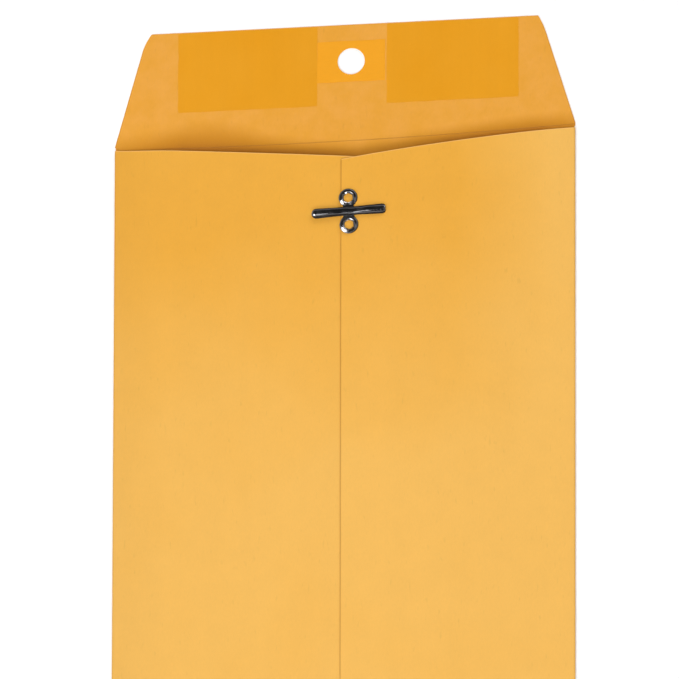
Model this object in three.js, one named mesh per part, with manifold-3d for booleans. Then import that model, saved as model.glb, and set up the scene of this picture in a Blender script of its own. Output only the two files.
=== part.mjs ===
// A kraft clasp envelope, 9 x 12 in, lying on its address face with the closure flap open.
// The blank is one sheet of paper: each panel between two folds is a mesh of its own, and the panels
// meet at the folds. Millimetres. +X is to the right, +Y runs towards the flap and +Z is up, out of
// the clasp side. The origin is the centre of the address face, on the surface that the part lies on.

import * as THREE from "three";
import { mergeVertices } from "three/addons/utils/BufferGeometryUtils.js";
import Module from "manifold-3d";

const wasm = await Module();
wasm.setup();

// Envelope body
const bodyWidth = 228.6;
const bodyLength = 304.8;
const paper = 0.2;
const foldGap = 0.4; // air between the two layers inside a side fold
const crown = 2.1; // how far the clasp side bows up around the clasp
const crownLength = 70; // length from the crease down that keeps this height
const footCrown = 0.6; // and how far over the bottom fold
const mouthLift = 2.05; // the bow along the mouth, low enough for the flap to close over it
const mouthLiftShape = { left: 1, right: 1.6 }; // the left half stands fuller than the right
const mouthRun = [8, 60]; // distances from the crease between which the bow fills out
const seat = 0.05; // clearance between layers that lie on each other

// Side panels, their centre seam and the V-cut mouth
const seamX = -1.2; // free edge of the right panel, which is the upper one
const seamOverlap = 18;
const leftMouth = { drop: 1.6, cut: 8.8, curve: 1.15 }; // top edge, down from the crease: at the
const rightMouth = { drop: 1.3, cut: 11.2, curve: 1.7 }; // fold, and how much more at the centre
const glueLine = 0.1;
const seamGlueInset = 2;
const seamGlueEnd = 6;

// Bottom flap
const bottomFlapDepth = 21.5;
const bottomFlapTaper = 12;
const bottomFlapInset = 1;
const bottomFoldReach = 1; // inner half width of the bottom fold
const seamStepRun = 3;
const bottomGlueInset = 14;
const bottomGlueWidth = 12;

// Closure flap
const flapDepth = 57.15;
const flapTopWidth = 191.8;
const flapSlant = 0.3; // how fast the sides run inwards
const flapCornerRise = 9; // height of the curved corners
const creaseGap = 0.1;
const holeDiameter = 13.5;
const holeFromCrease = 38.3;
const gumThickness = 0.08;
const gumFromPatch = [0.2, 1]; // from the hole's patch to the left and to the right gum patch
const gumFromCorner = [13, 9.8]; // and from each of them to the end of the flap's top edge
const gumDepth = 40.4;
const gumEdge = 0.6;
const patchThickness = 0.12;
const patchWidth = 33.6;
const patchDepth = 21;

// Clasp
const claspX = 3.1;
const claspFromCrease = 39.9;
const claspTurn = THREE.MathUtils.degToRad(1.7); // a machine sets it a little askew
const metal = 0.4;
const earSpacing = 13;
const earDiameter = 9.3;
const earBead = 0.95; // height of the rolled rim
const boreDiameter = 4;
const burrWall = 0.3;
const burrTurn = 0.2; // inner radius of the petals' turn
const burrReach = 1.9; // how far the clenched petals spread past the bore
const petals = 6;
const petalSlot = 0.8;
const bridgeWidth = 5.2;
const bridgeLength = 6.4;
const bridgeFlare = 0.7; // how far its fillets spread where it runs into the ears
const bridgeFlareStart = 2.1;
const prongGap = 0.15;
const prongLength = 15.5;
const prongWidth = 4.9;
const prongRootWidth = 4.2;
const prongTips = { left: 2, right: 3.2 }; // 2 is round, more is squarer
const prongHeight = 1.25;
const prongRamp = 3.5; // length over which the flat root rises to the full dome
const burrHoleClearance = 0.2;
const backingWidth = 15;
const backingLength = 32;
const backingPaper = 0.15;

// Facets
const foldSteps = 5;
const archSteps = 10;
const lengthSteps = 18;
const lengthGrading = 1.4; // rows crowd towards the mouth
const roundSteps = 24;
const domeSteps = 8;
const prongSteps = 8;
const tipSteps = 6;

// Derived places
const foldRadius = paper + foldGap / 2;
const foldX = bodyWidth / 2 - foldRadius;
const creaseY = bodyLength / 2;
const bottomFoldY = -bodyLength / 2 + bottomFoldReach + paper;
const overlapX = seamX + seamOverlap;
const glueSpace = glueLine + 2 * seat;
const seamStep = paper + glueSpace;
const claspY = creaseY - claspFromCrease;
const holeX = claspX;

const kraft = { color: 0xecae4b, roughness: 0.82, metalness: 0 };
const kraftPatch = { color: 0xf0a22c, roughness: 0.7, metalness: 0 };
const driedGum = { color: 0xe69d26, roughness: 0.35, metalness: 0 };
const glue = { color: 0xe6d3a0, roughness: 0.5, metalness: 0 };
const claspMetal = { color: 0x3a3b3f, roughness: 0.28, metalness: 0.9 };

// Solids
function solidOf(geometry) {
  const bare = geometry.clone();
  bare.deleteAttribute("normal");
  bare.deleteAttribute("uv");
  const merged = mergeVertices(bare, 1e-5);
  return new wasm.Manifold(
    new wasm.Mesh({
      numProp: 3,
      vertProperties: new Float32Array(merged.attributes.position.array),
      triVerts: new Uint32Array(merged.index.array),
    }),
  );
}

function geometryOf(solid) {
  const mesh = solid.getMesh();
  const position = new Float32Array(mesh.numVert * 3);
  for (let i = 0; i < mesh.numVert; i++) {
    position.set(mesh.vertProperties.subarray(i * mesh.numProp, i * mesh.numProp + 3), i * 3);
  }
  const geometry = new THREE.BufferGeometry();
  geometry.setAttribute("position", new THREE.BufferAttribute(position, 3));
  geometry.setIndex(new THREE.BufferAttribute(new Uint32Array(mesh.triVerts), 1));
  geometry.computeVertexNormals();
  return geometry;
}

// A closed sheet between two grids of points. columns x rows gives the outer normal.
function sheet(columns, rows, inner, outer) {
  const position = [];
  const index = [];
  const across = rows.length;
  for (const place of [inner, outer]) {
    for (const column of columns) {
      for (const row of rows) position.push(...place(column, row));
    }
  }
  const layer = columns.length * across;
  const quad = (a, b, c, d) => index.push(a, b, c, a, c, d);
  for (let i = 0; i + 1 < columns.length; i++) {
    for (let j = 0; j + 1 < across; j++) {
      const at = i * across + j;
      quad(at, at + 1, at + across + 1, at + across);
      quad(layer + at, layer + at + across, layer + at + across + 1, layer + at + 1);
    }
    const first = i * across;
    const last = first + across - 1;
    quad(first, first + across, layer + first + across, layer + first);
    quad(last + across, last, layer + last, layer + last + across);
  }
  for (let j = 0; j + 1 < across; j++) {
    const end = (columns.length - 1) * across + j;
    quad(j + 1, j, layer + j, layer + j + 1);
    quad(end, end + 1, layer + end + 1, layer + end);
  }
  const geometry = new THREE.BufferGeometry();
  geometry.setAttribute("position", new THREE.BufferAttribute(new Float32Array(position), 3));
  geometry.setIndex(index);
  geometry.computeVertexNormals();
  return geometry;
}

function span(from, to, steps) {
  return Array.from({ length: steps + 1 }, (_, i) => from + ((to - from) * i) / steps);
}

function smooth(x, from, to) {
  const t = THREE.MathUtils.clamp((x - from) / (to - from), 0, 1);
  return t * t * (3 - 2 * t);
}

function upright(points, depth, z) {
  const geometry = new THREE.ExtrudeGeometry(points, { depth, bevelEnabled: false, curveSegments: 8 });
  return geometry.translate(0, 0, z);
}

function rectangle(x0, y0, x1, y1) {
  const shape = new THREE.Shape();
  shape.moveTo(x0, y0);
  shape.lineTo(x1, y0);
  shape.lineTo(x1, y1);
  shape.lineTo(x0, y1);
  shape.closePath();
  return shape;
}

// The bowed clasp side: the height of each layer over a point of the address face
function bow(x, y) {
  const along = smooth(y, bottomFoldY, creaseY - crownLength);
  const full = (footCrown + (crown - footCrown) * along) * (1 - (x / foldX) ** 2);
  const shape = x < 0 ? mouthLiftShape.left : mouthLiftShape.right;
  const mouth = mouthLift * (0.5 + 0.5 * Math.cos((Math.PI * x) / foldX)) ** shape;
  return mouth + (full - mouth) * smooth(creaseY - y, mouthRun[0], mouthRun[1]);
}

function leftUnder(x, y) {
  return paper + foldGap + bow(x, y);
}

function rightUnder(x, y) {
  return leftUnder(x, y) + seamStep * smooth(foldX - x, 0, foldX - overlapX);
}

function sideTop(x, y) {
  const step = THREE.MathUtils.clamp((x - seamX) / seamStepRun + 1, 0, 1);
  return leftUnder(x, y) + paper + (rightUnder(x, y) - leftUnder(x, y)) * step;
}

// A side panel's top edge; side is -1 for the left panel and 1 for the right one
function mouthEdge(side, x) {
  const { drop, cut, curve } = side < 0 ? leftMouth : rightMouth;
  return creaseY - drop - cut * Math.max(1 - (side * x) / foldX, 0) ** curve;
}

function lengthRows() {
  return span(0, 1, lengthSteps).map((s) => 1 - (1 - s) ** lengthGrading);
}

// Panels of the blank
function frontPanel() {
  return upright(rectangle(-foldX, bottomFoldY, foldX, creaseY), paper, 0);
}

// A side panel's section: the turn at the fold, then the bowed stretch to its free edge
function sideStations(side, freeX) {
  const turn = span(-Math.PI / 2, Math.PI / 2, foldSteps).map((angle) => ({ angle }));
  const flat = span(side * foldX, freeX, archSteps).slice(1).map((x) => ({ x }));
  const stations = [...turn, ...flat];
  return side < 0 ? stations : stations.reverse();
}

function sidePanel(side, freeX, under) {
  const place = (radius, lift) => (station, row) => {
    if (station.angle === undefined) {
      const y = bottomFoldY + (mouthEdge(side, station.x) - bottomFoldY) * row;
      return [station.x, y, under(station.x, y) + lift];
    }
    const x = side * (foldX + radius * Math.cos(station.angle));
    const y = bottomFoldY + (mouthEdge(side, side * foldX) - bottomFoldY) * row;
    return [x, y, foldRadius + radius * Math.sin(station.angle)];
  };
  const stations = sideStations(side, freeX);
  return pierced(sheet(stations, lengthRows(), place(foldGap / 2, 0), place(foldRadius, paper)));
}

// The two holes that the clasp's burrs pass through
function pierced(geometry) {
  const radius = boreDiameter / 2 + burrWall + burrHoleClearance;
  let solid = solidOf(geometry);
  for (const end of [-1, 1]) {
    const drill = new THREE.CylinderGeometry(radius, radius, 8 * crown, roundSteps);
    drill.rotateX(Math.PI / 2);
    drill.translate(0, (end * earSpacing) / 2, 0);
    drill.rotateZ(claspTurn);
    drill.translate(claspX, claspY, claspSeatZ);
    solid = solid.subtract(solidOf(drill));
  }
  return geometryOf(solid);
}

function seamGlue() {
  const columns = span(seamX + seamGlueInset, overlapX - seamGlueInset, 2);
  const place = (lift) => (x, row) => {
    const top = mouthEdge(-1, x) - seamGlueEnd;
    const y = bottomFoldY + seamGlueEnd + (top - bottomFoldY - seamGlueEnd) * row;
    return [x, y, leftUnder(x, y) + paper + lift];
  };
  return pierced(sheet(columns, lengthRows(), place(seat), place(seat + glueLine)));
}

function bottomFlap() {
  const reach = foldX - bottomFlapInset;
  const columns = [
    ...span(-reach, seamX - seamStepRun, archSteps),
    ...span(seamX, overlapX, 3),
    ...span(overlapX, reach, archSteps).slice(1),
  ];
  const turn = span(-Math.PI / 2, Math.PI / 2, foldSteps + 1).map((angle) => ({ angle }));
  const flat = span(bottomFoldY, -bodyLength / 2 + bottomFlapDepth, 5).slice(1).map((y) => ({ y }));
  const place = (layer) => (x, station) => {
    const y = station.angle === undefined ? station.y : bottomFoldY;
    const under = sideTop(x, y) + glueSpace;
    if (station.angle === undefined) return [x, y, under + layer];
    const halfHeight = (under - paper) / 2;
    return [
      x,
      y - (bottomFoldReach + layer) * Math.cos(station.angle),
      paper + halfHeight + (halfHeight + layer) * Math.sin(station.angle),
    ];
  };
  const tapered = new THREE.Shape();
  tapered.moveTo(-reach, -bodyLength / 2 - 1);
  tapered.lineTo(reach, -bodyLength / 2 - 1);
  tapered.lineTo(reach, bottomFoldY + bottomFlapInset);
  tapered.lineTo(reach - bottomFlapTaper, -bodyLength / 2 + bottomFlapDepth);
  tapered.lineTo(bottomFlapTaper - reach, -bodyLength / 2 + bottomFlapDepth);
  tapered.lineTo(-reach, bottomFoldY + bottomFlapInset);
  tapered.closePath();
  const whole = solidOf(sheet(columns, [...turn, ...flat], place(0), place(paper)));
  return geometryOf(whole.intersect(solidOf(upright(tapered, 8 * crown, -crown))));
}

function bottomGlue() {
  const half = foldX - bottomGlueInset;
  const columns = [
    ...span(-half, seamX - seamStepRun, archSteps),
    ...span(seamX, overlapX, 3),
    ...span(overlapX, half, archSteps).slice(1),
  ];
  const middle = -bodyLength / 2 + bottomFlapDepth / 2;
  const rows = span(middle - bottomGlueWidth / 2, middle + bottomGlueWidth / 2, 3);
  const place = (lift) => (x, y) => [x, y, sideTop(x, y) + lift];
  return sheet(columns, rows, place(seat), place(seat + glueLine));
}

// Closure flap: straight slanted sides, curved corners that meet the top edge at an angle, one hole
function flapOutline() {
  const root = bodyWidth / 2;
  const top = flapTopWidth / 2;
  const y0 = creaseY + creaseGap;
  const y1 = creaseY + flapDepth;
  const shape = new THREE.Shape();
  shape.moveTo(-root, y0);
  shape.lineTo(root, y0);
  const turnY = y1 - flapCornerRise;
  const turnX = root - flapSlant * (turnY - y0);
  const bendX = turnX - (flapSlant * flapCornerRise) / 2;
  const bendY = turnY + flapCornerRise / 2;
  shape.lineTo(turnX, turnY);
  shape.quadraticCurveTo(bendX, bendY, top, y1);
  shape.lineTo(-top, y1);
  shape.quadraticCurveTo(-bendX, bendY, -turnX, turnY);
  shape.closePath();
  return shape;
}

function holed(shape) {
  const hole = new THREE.Path();
  hole.absarc(holeX, creaseY + holeFromCrease, holeDiameter / 2, 0, 2 * Math.PI, true);
  shape.holes.push(hole);
  return shape;
}

function closureFlap() {
  const options = { depth: paper, bevelEnabled: false, curveSegments: roundSteps };
  return new THREE.ExtrudeGeometry(holed(flapOutline()), options);
}

function gumPatch(side) {
  const which = side < 0 ? 0 : 1;
  const inner = holeX + side * (patchWidth / 2 + gumFromPatch[which]);
  const outer = side * (flapTopWidth / 2 - gumFromCorner[which]);
  const top = creaseY + flapDepth - gumEdge;
  const outline = rectangle(Math.min(inner, outer), top - gumDepth, Math.max(inner, outer), top);
  return upright(outline, gumThickness, paper);
}

function holePatch() {
  const centre = creaseY + holeFromCrease;
  const outline = rectangle(
    holeX - patchWidth / 2,
    centre - patchDepth / 2,
    holeX + patchWidth / 2,
    centre + patchDepth / 2,
  );
  const options = { depth: patchThickness, bevelEnabled: false, curveSegments: roundSteps };
  return new THREE.ExtrudeGeometry(holed(outline), options).translate(0, 0, paper);
}

// Clasp: one stamping of tinned sheet. Its frame has z = 0 on the underside and y along the ears.
const claspSeatZ = leftUnder(claspX, claspY) + seamStep + paper + seat;
const stack = 2 * seat + 2 * paper + glueSpace + backingPaper + seat;

// Section of an ear: rolled rim, burr through the paper, petals clenched outwards underneath
function earSection() {
  const bore = boreDiameter / 2;
  const rimMiddle = (earDiameter / 2 + bore) / 2;
  const rimHalf = earDiameter / 2 - rimMiddle;
  const arc = (half, height) =>
    span(0, Math.PI, domeSteps).map(
      (a) => new THREE.Vector2(rimMiddle + half * Math.cos(a), height * Math.sin(a)),
    );
  const curlX = bore + burrWall + burrTurn;
  const curlZ = burrTurn - stack;
  const curl = (radius) =>
    span(Math.PI, 1.5 * Math.PI, 3).map(
      (a) => new THREE.Vector2(curlX + radius * Math.cos(a), curlZ + radius * Math.sin(a)),
    );
  const outside = [
    ...arc(rimHalf, earBead),
    ...curl(burrTurn + burrWall),
    new THREE.Vector2(bore + burrReach, -stack - burrWall),
    new THREE.Vector2(bore + burrReach, -stack),
  ];
  const inside = [...curl(burrTurn)].reverse();
  const under = arc(rimHalf - metal, earBead - metal).reverse();
  return [...outside, ...inside, ...under, outside[0].clone()];
}

function bridgeOutline() {
  const half = bridgeWidth / 2;
  const end = bridgeLength / 2;
  const shape = new THREE.Shape();
  shape.moveTo(half, -bridgeFlareStart);
  shape.lineTo(half, bridgeFlareStart);
  shape.quadraticCurveTo(half, end, half + bridgeFlare, end);
  shape.lineTo(-half - bridgeFlare, end);
  shape.quadraticCurveTo(-half, end, -half, bridgeFlareStart);
  shape.lineTo(-half, -bridgeFlareStart);
  shape.quadraticCurveTo(-half, -end, -half - bridgeFlare, -end);
  shape.lineTo(half + bridgeFlare, -end);
  shape.quadraticCurveTo(half, -end, half, -bridgeFlareStart);
  shape.closePath();
  return shape;
}

function claspPlate() {
  let solid;
  for (const end of [-1, 1]) {
    const ear = new THREE.LatheGeometry(earSection(), roundSteps);
    ear.rotateX(Math.PI / 2);
    let turned = solidOf(ear);
    for (let i = 0; i < petals; i++) {
      const slot = new THREE.BoxGeometry(earDiameter, petalSlot, 4 * stack);
      slot.translate(earDiameter / 2, 0, -2 * stack - metal / 2);
      slot.rotateZ(((i + 0.5) * 2 * Math.PI) / petals);
      turned = turned.subtract(solidOf(slot));
    }
    turned = turned.translate([0, (end * earSpacing) / 2, 0]);
    solid = solid ? solid.add(turned) : turned;
  }
  let bridge = solidOf(upright(bridgeOutline(), metal, 0));
  for (const end of [-1, 1]) {
    const inside = new THREE.CylinderGeometry(earDiameter / 2 - metal, earDiameter / 2 - metal, 4, roundSteps);
    inside.rotateX(Math.PI / 2);
    inside.translate(0, (end * earSpacing) / 2, 0);
    bridge = bridge.subtract(solidOf(inside));
  }
  return geometryOf(solid.add(bridge));
}

// A prong: a half-round channel that is flat at its bend and closes in a rounded or squarer tip.
// It lies along +X from its bend, whose axis is the mesh's own origin.
function prong(tipShape) {
  const tipStart = prongLength - prongWidth / 2;
  const stations = [
    ...span(0, tipStart, prongSteps).map((s) => ({ s, end: 0 })),
    ...span(0, 0.98, tipSteps).slice(1).map((end) => ({ s: tipStart, end })),
  ];
  const place = (wall) => (station, angle) => {
    const taper = smooth(station.s, 0, tipStart);
    const shrink = (1 - station.end ** tipShape) ** (1 / tipShape);
    const half = (prongRootWidth + (prongWidth - prongRootWidth) * taper) / 2 - wall;
    const rise = metal + (prongHeight - metal) * smooth(station.s, 0, prongRamp) - wall;
    const reach = station.s + (prongWidth / 2 - wall) * station.end;
    return [reach, half * shrink * Math.sin(angle), rise * shrink * Math.cos(angle) - metal];
  };
  const angles = span(-Math.PI / 2, Math.PI / 2, domeSteps);
  return sheet(stations, angles, place(metal), place(0));
}

function backingPatch() {
  const columns = span(claspX - backingWidth / 2, claspX + backingWidth / 2, 4);
  const rows = span(claspY - backingLength / 2, claspY + backingLength / 2, 2);
  const place = (drop) => (x, y) => [x, y, leftUnder(x, y) - drop];
  return pierced(sheet(columns, rows, place(seat + backingPaper), place(seat)));
}

// Assembly
const envelope = new THREE.Group();

function add(parent, name, geometry, finish) {
  const mesh = new THREE.Mesh(geometry, new THREE.MeshStandardMaterial(finish));
  mesh.name = name;
  parent.add(mesh);
  return mesh;
}

add(envelope, "front_panel", frontPanel(), kraft);
add(envelope, "left_side_panel", sidePanel(-1, overlapX, leftUnder), kraft);
add(envelope, "right_side_panel", sidePanel(1, seamX, rightUnder), kraft);
add(envelope, "seam_glue_line", seamGlue(), glue);
add(envelope, "bottom_flap", bottomFlap(), kraft);
add(envelope, "bottom_glue_line", bottomGlue(), glue);
add(envelope, "clasp_backing_patch", backingPatch(), kraftPatch);

const closure = new THREE.Group();
envelope.add(closure);
add(closure, "closure_flap", closureFlap(), kraft);
add(closure, "gum_patch_left", gumPatch(-1), driedGum);
add(closure, "gum_patch_right", gumPatch(1), driedGum);
add(closure, "hole_reinforcement_patch", holePatch(), kraftPatch);

const clasp = new THREE.Group();
clasp.position.set(claspX, claspY, claspSeatZ);
clasp.rotation.z = claspTurn;
envelope.add(clasp);
add(clasp, "clasp_plate", claspPlate(), claspMetal);
for (const [side, end] of [[-1, "left"], [1, "right"]]) {
  const tongue = add(clasp, `clasp_prong_${end}`, prong(prongTips[end]), claspMetal);
  tongue.position.set(side * (bridgeWidth / 2 + prongGap), 0, metal);
  tongue.rotation.z = side < 0 ? Math.PI : 0;
}

export default envelope;
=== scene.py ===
# A golden kraft clasp envelope, 9 x 12 in, lying on its address face with the closure flap open.
# The lengths are millimetres in the row's frame: +X to the right, +Y towards the flap, +Z up.

import math

import bpy
import numpy as np
from mathutils import Matrix, Vector


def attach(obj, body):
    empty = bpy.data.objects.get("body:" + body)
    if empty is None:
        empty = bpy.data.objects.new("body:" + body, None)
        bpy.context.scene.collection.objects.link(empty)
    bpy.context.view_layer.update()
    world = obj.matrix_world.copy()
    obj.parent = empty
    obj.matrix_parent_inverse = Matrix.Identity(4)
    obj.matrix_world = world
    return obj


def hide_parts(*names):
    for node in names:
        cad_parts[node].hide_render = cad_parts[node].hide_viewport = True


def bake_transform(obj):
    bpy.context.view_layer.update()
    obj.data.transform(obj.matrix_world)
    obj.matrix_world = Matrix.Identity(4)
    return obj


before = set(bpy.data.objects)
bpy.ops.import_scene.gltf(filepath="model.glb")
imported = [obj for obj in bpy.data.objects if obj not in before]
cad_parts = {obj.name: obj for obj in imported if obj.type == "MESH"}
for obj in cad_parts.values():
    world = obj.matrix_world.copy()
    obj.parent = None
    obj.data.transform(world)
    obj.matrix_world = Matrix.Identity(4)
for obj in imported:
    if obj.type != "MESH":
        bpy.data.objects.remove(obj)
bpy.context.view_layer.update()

scene = bpy.context.scene
scene.view_settings.view_transform = "Standard"
MM = 0.001


# The camera. A long lens far off, a little to the right of the envelope and below it on the page:
# the sheet is seen 19 degrees off its normal, with almost parallel edges.

VIEW_TARGET = (-1.42, 46.69, 5.42)
VIEW_DISTANCE = 10732.6
VIEW_RIGHT = Vector((0.98575, 0.00280, -0.16818))
VIEW_UP = Vector((0.04663, 0.95613, 0.28921))
VIEW_WIDTH = 331.36  # of the square picture, at the target

view_back = VIEW_RIGHT.cross(VIEW_UP).normalized()
view_right = VIEW_UP.cross(view_back).normalized()
lens = bpy.data.cameras.new("long_lens")
lens.sensor_width = 36
lens.lens = lens.sensor_width * VIEW_DISTANCE / VIEW_WIDTH
camera = bpy.data.objects.new("camera", lens)
scene.collection.objects.link(camera)
scene.camera = camera
view_axes = Matrix((view_right, VIEW_UP.normalized(), view_back)).transposed()
view_place = (Vector(VIEW_TARGET) + view_back * VIEW_DISTANCE) * MM
camera.matrix_world = Matrix.Translation(view_place) @ view_axes.to_4x4()


# Kraft paper. Unbleached sulphate pulp, dyed golden: cloudy formation, faint streaks along the
# machine direction, single fibres. Its inside is a shade redder and scored at the flap's crease.
# Light and shade are painted into it: a painted shadow beyond the panels' cut edges at the mouth,
# painted shade in the score, along the flap's cut edges, on the folds, at the seam and by the
# bottom flap's edge, a painted highlight along the panels' cut lips, and painted light that makes
# the outside paler towards the bottom and the right.

BODY_WIDTH = 228.6
BODY_LENGTH = 304.8
PAPER = 0.2
FOLD_GAP = 0.4
FOLD_RADIUS = PAPER + FOLD_GAP / 2
FOLD_X = BODY_WIDTH / 2 - FOLD_RADIUS
CREASE_Y = BODY_LENGTH / 2
CREASE_SAG = (0.00252, -0.00877, -0.1311, -0.2295)  # the score's bow, in powers of x, metres
CREASE_WIDTH = 0.22
LEFT_MOUTH = (0.95, 10.0, 1.03, 1.15)  # drop of the edge, depth of the cut, its curve, corner's dip
RIGHT_MOUTH = (1.3, 11.2, 1.47, 0.15)
DIP_WIDTH = 18.0
# A painted shadow on the inside, beyond the side panels' cut edges at the mouth.
MOUTH_SHADOW_REACH = 10.0
MOUTH_SHADOW_LEFT = (-65.0, 25.0, 8.5)  # where the painted shadow reaches further, how wide that is, by how much
MOUTH_SHADOW_CENTRE = (18.0, 26.0, 0.28)  # where it is fainter, how wide that is, by how much
MOUTH_SHADOW_DEPTH = 0.90
MOUTH_SHADOW_ENDS = ((0.33, 50.0), (0.55, 40.0))  # how strong it is at the left and right folds, how soon full
MOUTH_SHADOW_FALL = 1.5  # a power: over 1, the band pales quickly at first
MOUTH_SHADOW_TINGE = (2.5, 0.8)  # the golden tinge reaches further out than the brown
SEAM_X = -1.2
SEAM_SHADE = (0.3, 0.5)  # width and strength of the painted shade line
SEAM_SHIFTS = (0.1, 0.2)  # of that line, and of its turn under the right panel's corner
BOTTOM_FOLD = 1.2  # how far above the body's bottom the flat of the panels ends
FOOT_Y = -BODY_LENGTH / 2 + BOTTOM_FOLD
BOTTOM_DEPTH = 21.5
BOTTOM_TAPER = 12
BOTTOM_INSET = 1
BOTTOM_EDGE_Y = BOTTOM_DEPTH - BODY_LENGTH / 2
BOTTOM_EDGE_HALF = FOLD_X - BOTTOM_INSET - BOTTOM_TAPER
BOTTOM_EDGE_SHADE = (0.4, 0.7, 20.0)  # painted shade by the bottom flap's edge: width, strength beside the seam's, how soon it fades at its ends
LIP_HIGHLIGHT = (0.55, 0.9)  # width and strength of the painted highlight along the cut edge
FOLD_TURN_SHADE = (1.0, 0.3)  # the same of the painted shade on the folds
FOLD_SHADE = (15.0, 0.05)  # beside the left fold: how far it reaches, how dark it is
LEFT_SHADE = (-20.0, -80.0, 0.015)  # from where to where the left panel darkens, by how much
FLAP_DEPTH = 57.15
LEFT_SLANT = (0.279, 0.0)  # how fast the flap narrows, and from what height over the crease
RIGHT_SLANT = (0.308, 1.3)
RIM_WIDTH = 0.6
# Painted shade along the flap's cut edges, at its top and its sides.
TOP_RIM_SHADE = 0.15
SIDE_RIM_SHADE = 0.4
# Painted shade in the score's line.
SCORE_SHADE = 0.5
SCORE_GROOVE = 4.0  # against the height of the fibres
PAINTED_LIGHT_BELOW = (-45.0, 135.0)  # painted light: the outside is palest under the first height, deep over the second
PAINTED_LIGHT_RIGHT = (55.0, 105.0)  # and turns pale again, painted light, between these two
CLOUDINESS = 0.7
MOTTLE = 0.07
STREAKING = 0.035
FIBRE_TINT = 0.09
SHIVE_FROM = 0.68
SHIVE_EDGE = 8.0
SHIVE_TINT = 0.06
OUTER_DEEP = (0.817, 0.393, 0.044)
OUTER_PALE = (0.858, 0.472, 0.099)
INNER_KRAFT = (0.786, 0.348, 0.034)
INNER_ROSY = (0.802, 0.361, 0.052)
# The colour of the painted shade on the folds, in the score, along the flap's cut edges, at the seam
# and by the bottom flap's edge.
PAINTED_SHADE_BROWN = (0.36, 0.14, 0.02)
# The colours of the painted shadow at the mouth: golden at its fringe, brown by the edges.
MOUTH_SHADOW_GOLD = (0.745, 0.320, 0.014)
MOUTH_SHADOW_BROWN = (0.376, 0.112, 0.002)
# The paper's pale cut edge, also painted as a highlight along the panels' mouth edges.
PALE_CUT_EDGE_AND_HIGHLIGHT = (0.93, 0.53, 0.17)


class Flow:
    """A value that runs through a material: Python's operators on it add Math nodes."""

    def __init__(self, tree, socket):
        self.tree = tree
        self.socket = socket

    def math(self, operation, *values):
        return self.tree.add("ShaderNodeMath", {"operation": operation}, dict(enumerate(values)))

    def __add__(self, other):
        return self.math("ADD", self, other)

    def __radd__(self, other):
        return self.math("ADD", other, self)

    def __sub__(self, other):
        return self.math("SUBTRACT", self, other)

    def __rsub__(self, other):
        return self.math("SUBTRACT", other, self)

    def __mul__(self, other):
        return self.math("MULTIPLY", self, other)

    def __rmul__(self, other):
        return self.math("MULTIPLY", other, self)

    def __truediv__(self, other):
        return self.math("DIVIDE", self, other)

    def __pow__(self, other):
        return self.math("POWER", self, other)

    def at_least(self, other):
        return self.math("MAXIMUM", self, other)

    def clamped(self):
        return self.math("MINIMUM", self.at_least(0.0), 1.0)

    def bell(self):
        """1 where the value is 0, falling off on both sides."""
        return self.math("EXPONENT", 0.0 - self * self)


class Finish:
    """A material or world under construction."""

    def __init__(self, data):
        self.data = data
        data.use_nodes = True
        self.nodes = data.node_tree.nodes
        self.links = data.node_tree.links

    def add(self, kind, settings, sockets, out=0):
        node = self.nodes.new(kind)
        for key, value in settings.items():
            setattr(node, key, value)
        for key, value in sockets.items():
            self.feed(node.inputs[key], value)
        return Flow(self, node.outputs[out])

    def feed(self, socket, value):
        if isinstance(value, Flow):
            self.links.new(value.socket, socket)
        elif socket.type == "RGBA":
            socket.default_value = (*value, 1.0)
        else:
            socket.default_value = value

    def set(self, **inputs):
        shader = self.nodes["Principled BSDF"]
        for key, value in inputs.items():
            self.feed(shader.inputs[key.replace("_", " ")], value)
        return self.data

    def place(self):
        return self.add("ShaderNodeTexCoord", {}, {}, out="Object")

    def part(self, vector, axis):
        return self.add("ShaderNodeSeparateXYZ", {}, {0: vector}, out=axis)

    def noise(self, vector, scale, detail=3.0, roughness=0.55, stretch=(1, 1, 1)):
        if stretch != (1, 1, 1):
            vector = self.add("ShaderNodeMapping", {}, {"Vector": vector, "Scale": stretch})
        sockets = {"Vector": vector, "Scale": scale, "Detail": detail, "Roughness": roughness}
        return self.add("ShaderNodeTexNoise", {}, sockets)

    def mix(self, factor, low, high):
        return self.add("ShaderNodeMix", {"data_type": "RGBA"}, {0: factor, 6: low, 7: high}, out=2)

    def tint(self, colour, factor):
        return self.add("ShaderNodeVectorMath", {"operation": "SCALE"}, {0: colour, "Scale": factor})

    def relief(self, height, distance, strength):
        sockets = {"Height": height, "Distance": distance, "Strength": strength}
        return self.add("ShaderNodeBump", {}, sockets)


def material(name):
    return Finish(bpy.data.materials.new(name))


def score(x, y):
    """1 in the scored line of the crease, which bows a little across the sheet."""
    sag = CREASE_SAG[0] + x * (CREASE_SAG[1] + x * (CREASE_SAG[2] + x * CREASE_SAG[3]))
    return ((CREASE_Y * MM - sag - y) / (CREASE_WIDTH * MM)).bell()


def mouth_line(x, side):
    """The height of a side panel's cut top edge; the edge falls towards the seam."""
    drop, cut, curve, dip = LEFT_MOUTH if side < 0 else RIGHT_MOUTH
    share = (1.0 - x * (side / (FOLD_X * MM))).at_least(0.0)
    corner = (share * (FOLD_X / DIP_WIDTH)).bell() * (dip * MM)
    return (CREASE_Y - drop) * MM - (share**curve) * (cut * MM) - corner


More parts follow.
